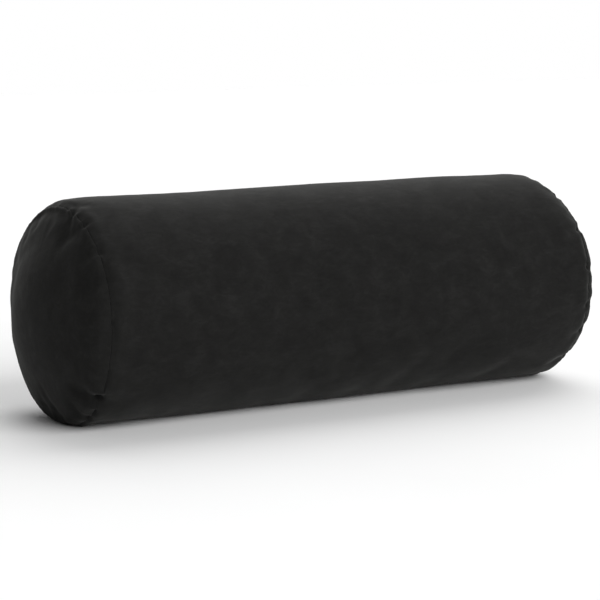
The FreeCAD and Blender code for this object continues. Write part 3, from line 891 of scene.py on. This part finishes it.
def soft_dome(end, start_x, tip_x, wide, rows, angle, lumps):
    """Domed end of an inner layer, which sags as the end panel does."""
    t = np.linspace(math.pi / 2, 0.03, rows)[:, None]
    radius = wide * np.sin(t)
    points = around(end * (start_x + (tip_x - start_x) * np.cos(t) ** DOME_POWER), radius, angle)
    inwards = lumpy(points, *lumps) + cap_sag(radius, from_top(angle))
    return points + outward(points, True) * inwards[..., None]


def finish_liner(piece, cloth, node):
    give_thickness(piece, 0.4 * MM)
    finish_piece(piece, cloth, node)


def make_liner_tube(cloth):
    """Thin cloth round the wadding, with rounded shoulders at both ends."""
    bend, rows = 1.2, 110
    shoulder_r = (LINER_NECK - LINER_R) / (1 - math.cos(bend))
    shoulder = turn((LINER_STRAIGHT, LINER_R), 0.0, -bend, shoulder_r, 14)
    stretch = (LINER_JOIN - LINER_STRAIGHT) / (shoulder[-1, 0] - LINER_STRAIGHT)
    shoulder[:, 0] = LINER_STRAIGHT + (shoulder[:, 0] - LINER_STRAIGHT) * stretch
    x = np.linspace(-LINER_STRAIGHT, LINER_STRAIGHT, rows)
    middle = np.stack([x, np.full(rows, LINER_R)], axis=1)
    outline = np.concatenate([shoulder[:0:-1] * [-1, 1], middle, shoulder[1:]])
    points = soft_tube(outline[:, :1], outline[:, 1:], ring_angles(160), 3.2 * MM, 0.97,
                       (34 * MM, 1.6 * MM, 3), 2.2 * MM)
    finish_liner(grid_object("liner_tube_cloth", points, wrap=True), cloth, "liner_tube")


def make_liner_end(cloth, end, name):
    """Domed end of the liner."""
    points = soft_dome(end, LINER_JOIN + 0.3 * MM, TIP_X - 3.2 * MM - INNER_SLACK, LINER_NECK, 40,
                       ring_angles(160), (34 * MM, 1.2 * MM, 4))
    finish_liner(dome_object(f"liner_end_{name}_cloth", points), cloth, f"liner_end_{name}")


def make_liner_seam(thread, end, name):
    """Overcast thread round the join of the liner's tube and its end."""
    wound, angle = wound_thread(220, 10)
    x = LINER_JOIN + 1.1 * MM * np.cos(wound)
    radius = LINER_NECK + 0.35 * MM + 0.25 * MM * np.sin(wound)
    sew(f"liner_seam_thread_{name}", thread, f"liner_seam_{name}", ring_points(end * x, radius, angle),
        0.15 * MM, ring_direction(angle), 5, closed=True)


def make_liner_closing(thread):
    """Row of stitches along the top that closes the filled liner."""
    reach = CORNER_X - 14 * MM
    x = stitch_places(-reach, reach, [0.1, 0.2, 0.5, 0.8, 0.9])
    z = AXIS_Z + LINER_R + np.array([-0.5, 0.15, 0.2, 0.15, -0.5]) * MM
    paths = np.stack(np.broadcast_arrays(x, 0.0, z[None]), axis=-1)
    sew("liner_closing_thread", thread, "liner_closing_stitches", paths, 0.16 * MM, (0.0, 1.0, 0.0))


def make_wadding_wrap(fibre):
    """A thick sleeve round the foam, thinner at its ends where the pads meet it."""
    angle = ring_angles(150)
    x = np.linspace(-PAD_X, PAD_X, 120)[:, None]
    pinch = 5 * MM * smooth_step(PAD_X - 26 * MM, PAD_X, np.abs(x))
    skin = soft_tube(x, RADIUS - 4.6 * MM - INNER_SLACK - pinch, angle, 4.5 * MM, 0.965,
                     (22 * MM, 2.4 * MM, 8), 4.5 * MM)
    bore = ring_points(x[::-1], CORE_R + 0.8 * MM, from_top(angle))
    piece = grid_object("wadding_wrap_fibre", np.concatenate([skin, bore, skin[:1]]), wrap=True)
    piece.modifiers.new("weld", "WELD").merge_threshold = 0.01 * MM
    finish_piece(piece, fibre, "wadding_wrap")


def make_wadding_pad(fibre, end, name):
    """A domed pad between the foam's flat end and the liner."""
    wide = SEAM_R - ALLOWANCE - 5 * MM
    angle = ring_angles(150)
    dome = soft_dome(end, PAD_X + 8 * MM, TIP_X - 5.5 * MM - INNER_SLACK, wide, 36, angle,
                     (22 * MM, 1.6 * MM, 9))
    flat = around(end * (PAD_X + 0.5 * MM), np.linspace(0.05, 0.99, 12)[:, None] * wide, angle)
    piece = dome_object(f"wadding_pad_{name}_fibre", np.concatenate([flat, dome]))
    finish_piece(piece, fibre, f"wadding_pad_{name}")


def make_foam(foam):
    """A foam cylinder with rounded rims."""
    rim, rows = 10 * MM, 58
    half = CORE_HIGH.x
    edge = turn((half - rim, CORE_R), 0.0, -math.pi / 2, -rim, 10)
    x = np.linspace(rim - half, half - rim, rows + 2)[1:-1]
    middle = np.stack([x, np.full(rows, CORE_R)], axis=1)
    outline = np.concatenate([[[-half, 2 * MM]], edge[::-1] * [-1, 1], middle, edge, [[half, 2 * MM]]])
    points = ring_points(outline[:, :1], outline[:, 1:], -ring_angles(128))
    points += outward(points, True) * lumpy(points, 60 * MM, 0.6 * MM, 2)[..., None]
    piece = mesh_object("foam_core_block", points, tube_faces(*points.shape[:2]))
    finish_piece(piece, foam, "foam_core")


# ---- materials ----
class Nodes:
    """Short ways to build the nodes of one material, or of the world."""

    def __init__(self, owner):
        owner.use_nodes = True
        self.owner = owner
        self.tree = owner.node_tree
        self.shader = self.tree.nodes.get("Principled BSDF") or self.tree.nodes["Background"]
        self.place = self.node("ShaderNodeTexCoord").outputs["Object"]

    def fill(self, socket, value):
        """Gives a socket a number, a colour, a vector or another node's output."""
        if isinstance(value, (int, float)):
            socket.default_value = value
        elif isinstance(value, tuple):
            socket.default_value = (*value, 1.0)[:len(socket.default_value)]
        else:
            self.tree.links.new(value, socket)

    def node(self, kind, **inputs):
        """A new node. Each input's name is written with underscores."""
        node = self.tree.nodes.new(kind)
        for name, value in inputs.items():
            self.fill(node.inputs[name.replace("_", " ").title()], value)
        return node

    def set(self, **inputs):
        for name, value in inputs.items():
            self.fill(self.shader.inputs[name.replace("_", " ").title().replace("Ior", "IOR")], value)

    def mapped(self, scale=(1, 1, 1), rotation=(0, 0, 0)):
        node = self.node("ShaderNodeMapping", vector=self.place, scale=scale, rotation=rotation)
        return node.outputs["Vector"]

    def noise(self, size, detail=2.0, rough=0.5, distortion=0.0, where=None):
        """Noise whose blotches are about size metres across."""
        node = self.node("ShaderNodeTexNoise", vector=where or self.place, scale=1.0 / size,
                         detail=detail, roughness=rough, distortion=distortion)
        return node.outputs["Fac"]

    def wave(self, size, where, direction="X", distortion=0.0):
        """Bands that repeat every size metres."""
        node = self.node("ShaderNodeTexWave", vector=where, scale=math.pi / 10 / size,
                         distortion=distortion)
        node.bands_direction = direction
        return node.outputs["Fac"]

    def ramp(self, value, *stops):
        """Colours from a value. Each stop is (position, (red, green, blue))."""
        node = self.node("ShaderNodeValToRGB", fac=value)
        elements = node.color_ramp.elements
        while len(elements) < len(stops):
            elements.new(0.5)
        for element, (position, colour) in zip(elements, stops):
            element.position = position
            element.color = (*colour, 1.0)
        return node.outputs["Color"]

    def math(self, operation, a, b, kind="ShaderNodeMath"):
        node = self.node(kind)
        node.operation = operation
        self.fill(node.inputs[0], a)
        self.fill(node.inputs[1], b)
        return node.outputs["Value"]

    def dot(self, a, b):
        return self.math("DOT_PRODUCT", a, b, "ShaderNodeVectorMath")

    def blend(self, a, share, b):
        """A share of one value and the rest of another."""
        return self.math("ADD", self.math("MULTIPLY", a, share), self.math("MULTIPLY", b, 1 - share))

    def mix(self, factor, a, b, blend="MIX"):
        node = self.node("ShaderNodeMix")
        node.data_type = "RGBA"
        node.blend_type = blend
        for name, value in (("Factor", factor), ("A", a), ("B", b)):
            self.fill(node.inputs[name], value)
        return node.outputs["Result"]

    def between(self, value, low, high):
        """Low where the value is 0 and high where it is 1."""
        return self.node("ShaderNodeMapRange", value=value, to_min=low, to_max=high).outputs["Result"]

    def bump(self, height, depth, strength=1.0, under=None):
        """Relief up to depth metres deep, on top of the relief under it."""
        node = self.node("ShaderNodeBump", strength=strength, distance=depth, height=height)
        if under:
            self.fill(node.inputs["Normal"], under)
        return node.outputs["Normal"]


def new_material(name):
    return Nodes(bpy.data.materials.new(name))


def suede_material():
    """Black microsuede: a short nap brushed into cloudy patches, with a soft sheen at the edges."""
    n = new_material("black microsuede")
    clouds = n.noise(24 * MM, 4.0, 0.6, 0.6)
    streaks = n.noise(7 * MM, 2.0, 0.6, 1.2, n.mapped((0.5, 1.0, 1.0)))
    fibres = n.noise(0.5 * MM, 2.0, 0.7)
    patches = n.blend(clouds, 0.62, streaks)
    colour = n.ramp(patches, (0.34, (0.0064, 0.0064, 0.0060)), (0.52, (0.0086, 0.0086, 0.0081)),
                    (0.68, (0.0120, 0.0120, 0.0114)))
    specks = n.ramp(fibres, (0.35, (0.72, 0.72, 0.72)), (0.7, (1.3, 1.3, 1.3)))
    nap = n.bump(fibres, 0.12 * MM, 0.5, n.bump(patches, 0.5 * MM, 0.5))
    n.set(base_color=n.mix(1.0, colour, specks, "MULTIPLY"), normal=nap,
          roughness=n.between(patches, 1.0, 0.82), specular_ior_level=0.15,
          sheen_weight=n.between(patches, 0.10, 0.20), sheen_roughness=0.40,
          sheen_tint=(0.5, 0.5, 0.48))
    return n.owner


def thread_material(name, dark, light):
    """Twisted sewing thread."""
    n = new_material(name)
    twist = n.wave(0.5 * MM, n.mapped(rotation=(0.4, 0.7, 0.5)), "DIAGONAL", 1.0)
    fuzz = n.noise(0.25 * MM, 2.0, 0.6)
    mixed = n.blend(twist, 0.7, fuzz)
    n.set(base_color=n.ramp(mixed, (0.2, dark), (0.8, light)), roughness=n.between(fuzz, 0.5, 0.75),
          sheen_weight=0.2, normal=n.bump(mixed, 0.06 * MM, 0.8))
    return n.owner


def tape_material():
    """Black woven zip tape with a fine herringbone."""
    n = new_material("woven zip tape")
    flat = n.mapped(rotation=(math.pi / 2 + ZIP_ANGLE, 0.0, 0.0))
    warp = n.wave(0.7 * MM, flat, "DIAGONAL", 0.3)
    weft = n.wave(0.45 * MM, flat, "X", 0.2)
    weave = n.math("MULTIPLY", warp, weft)
    shade = n.blend(weave, 0.6, n.noise(3 * MM, 3.0))
    n.set(base_color=n.ramp(shade, (0.1, (0.006, 0.006, 0.006)), (0.8, (0.028, 0.028, 0.028))),
          roughness=0.85, sheen_weight=0.15, normal=n.bump(weave, 0.1 * MM, 0.9))
    return n.owner


def nylon_material():
    """Black nylon coil, smooth with faint drawing marks."""
    n = new_material("black nylon coil")
    marks = n.noise(0.4 * MM, 3.0, 0.6, 0.5)
    n.set(base_color=n.ramp(marks, (0.3, (0.012, 0.012, 0.013)), (0.8, (0.024, 0.024, 0.026))),
          roughness=n.between(marks, 0.28, 0.46), specular_ior_level=0.5,
          normal=n.bump(marks, 0.02 * MM, 0.5))
    return n.owner


def enamel_material():
    """Black enamel on zinc, rubbed through to metal on the edges."""
    n = new_material("worn black enamel")
    bevel = n.node("ShaderNodeBevel", radius=0.25 * MM).outputs["Normal"]
    plain = n.node("ShaderNodeNewGeometry").outputs["Normal"]
    scuffs = n.noise(1.2 * MM, 4.0, 0.65)
    edge = n.math("SUBTRACT", 1.0, n.dot(bevel, plain))
    worn = n.math("GREATER_THAN", n.math("MULTIPLY", edge, scuffs), 0.035)
    pits = n.noise(0.35 * MM, 2.0, 0.6)
    n.set(base_color=n.mix(worn, (0.012, 0.012, 0.013), (0.32, 0.31, 0.30)),
          metallic=n.math("MULTIPLY", worn, 0.9), roughness=n.between(scuffs, 0.25, 0.5),
          coat_weight=0.15, normal=n.bump(pits, 0.03 * MM, 0.4, bevel))
    return n.owner


def liner_material():
    """Off-white spun-bonded cloth with its dimpled bonding grid."""
    n = new_material("spun-bonded liner")
    grid = n.math("MULTIPLY", n.wave(1.2 * MM, n.mapped(), "X"), n.wave(1.2 * MM, n.mapped(), "Y"))
    fibres = n.noise(1.0 * MM, 4.0, 0.7, 2.0)
    n.set(base_color=n.ramp(fibres, (0.3, (0.52, 0.50, 0.46)), (0.7, (0.68, 0.66, 0.61))),
          roughness=0.9, sheen_weight=0.1, normal=n.bump(n.math("ADD", grid, fibres), 0.15 * MM, 0.6))
    return n.owner


def wadding_material():
    """White polyester fibre, matted in wisps."""
    n = new_material("polyester wadding")
    wisps = n.noise(4 * MM, 6.0, 0.75, 3.0)
    n.set(base_color=n.ramp(wisps, (0.3, (0.66, 0.66, 0.64)), (0.7, (0.86, 0.86, 0.84))),
          roughness=1.0, sheen_weight=0.4, normal=n.bump(wisps, 1.2 * MM, 0.9))
    return n.owner


def foam_material():
    """Cream open-cell foam, slightly yellowed."""
    n = new_material("open-cell foam")
    cells = n.node("ShaderNodeTexVoronoi", vector=n.place, scale=1.0 / (1.1 * MM))
    age = n.noise(90 * MM, 3.0)
    n.set(base_color=n.ramp(age, (0.3, (0.70, 0.63, 0.45)), (0.7, (0.78, 0.73, 0.58))), roughness=0.95,
          normal=n.bump(cells.outputs["Distance"], 0.5 * MM, 0.8))
    return n.owner


def floor_material():
    """Pale matt paint, faintly uneven."""
    n = new_material("pale floor")
    n.set(base_color=n.ramp(n.noise(0.4, 3.0), (0.3, (0.93, 0.93, 0.93)), (0.7, (0.95, 0.95, 0.95))),
          roughness=0.9, specular_ior_level=0.1)
    return n.owner


def paint_node(node, material):
    """Gives a CAD node that stays shown its material."""
    part = frame["nodes"][node]
    if not part.material_slots:
        part.data.materials.append(material)
    for place in part.material_slots:
        place.link = "OBJECT"
        place.material = material


# ---- stage ----
def make_floor():
    """Wide floor, a hair below the bolster."""
    half = 6.0
    corners = [(-half, -half, 0), (half, -half, 0), (half, half, 0), (-half, half, 0)]
    floor = mesh_object("floor", corners, [(0, 1, 2, 3)], smooth=False)
    floor.location.z = -0.5 * MM
    floor.data.materials.append(floor_material())


def make_sun(name, azimuth, elevation, strength, softness):
    """Soft light from a direction counted like the camera's."""
    data = bpy.data.lights.new(name, "SUN")
    data.energy = strength
    data.angle = math.radians(softness)
    lamp = bpy.data.objects.new(name, data)
    lamp.rotation_euler = direction(azimuth, elevation).to_track_quat("Z", "Y").to_euler()
    bpy.context.scene.collection.objects.link(lamp)


def direction(azimuth, elevation):
    """Unit vector towards a place. An azimuth of 0 is in front and 90 is on the right."""
    a, e = math.radians(azimuth), math.radians(elevation)
    return Vector((math.sin(a) * math.cos(e), -math.cos(a) * math.cos(e), math.sin(e)))


def make_world():
    """A white backdrop that lights the scene more weakly than it looks, least from the left."""
    brightest_side, least, most = (1.0, 0.5, 0.0), 0.05, 0.72
    n = Nodes(bpy.data.worlds.new("studio"))
    way = n.dot(n.node("ShaderNodeTexCoord").outputs["Generated"], brightest_side)
    fill = n.node("ShaderNodeMapRange", value=way, from_min=-0.7, to_min=least, to_max=most)
    seen = n.node("ShaderNodeLightPath").outputs["Is Camera Ray"]
    strength = n.node("ShaderNodeMix", factor=seen, a=fill.outputs["Result"], b=1.0)
    n.set(color=(1.0, 1.0, 1.0), strength=strength.outputs["Result"])
    bpy.context.scene.world = n.owner
    bpy.context.scene.view_settings.view_transform = "Standard"


def make_camera():
    """Sees the bolster from its left front, a little above, through a long lens."""
    azimuth, elevation, distance = -31.4, 7.9, 20.9 * RADIUS
    back = direction(azimuth, elevation)
    data = bpy.data.cameras.new("camera")
    data.lens = 134.7
    data.shift_x, data.shift_y = -0.014333, -0.013333
    camera = bpy.data.objects.new("camera", data)
    camera.location = Vector((0, 0, AXIS_Z)) + back * distance
    camera.rotation_euler = (-back).to_track_quat("-Z", "Y").to_euler()
    bpy.context.scene.collection.objects.link(camera)
    bpy.context.scene.camera = camera


# ---- build ----
cover_tree = simulate_cover()

suede = suede_material()
black_thread = thread_material("black thread", (0.010, 0.010, 0.010), (0.045, 0.045, 0.045))
white_thread = thread_material("white thread", (0.55, 0.54, 0.51), (0.80, 0.79, 0.76))
tape_cloth, nylon, enamel = tape_material(), nylon_material(), enamel_material()

make_body_panel(suede)
for end, name in ENDS:
    make_end_panel(suede, end, name)
    make_end_seam_thread(black_thread, end, name)
    make_overlock(black_thread, end, name)
    make_back_seam(black_thread, end, name)
    make_bartack(black_thread, end, name)
for side, name in HALVES:
    make_tape(tape_cloth, side, name)
    make_coil(nylon, side, name)
    make_coil_sewing(black_thread, side, name)
    make_topstitch(black_thread, side, name)
    make_top_stop(enamel, side, name)
for node in ("zip_bottom_stop", "zip_slider_body", "zip_slider_crown", "zip_slider_pawl",
             "zip_pull_tab"):
    paint_node(node, enamel)
liner_cloth, fibre = liner_material(), wadding_material()
make_liner_tube(liner_cloth)
for end, name in ENDS:
    make_liner_end(liner_cloth, end, name)
    make_liner_seam(white_thread, end, name)
make_liner_closing(white_thread)
make_wadding_wrap(fibre)
for end, name in ENDS:
    make_wadding_pad(fibre, end, name)
make_foam(foam_material())

make_floor()
make_world()
make_sun("front", azimuth=16, elevation=30, strength=2.5, softness=50)
make_sun("back", azimuth=138, elevation=46, strength=1.6, softness=60)
make_camera()
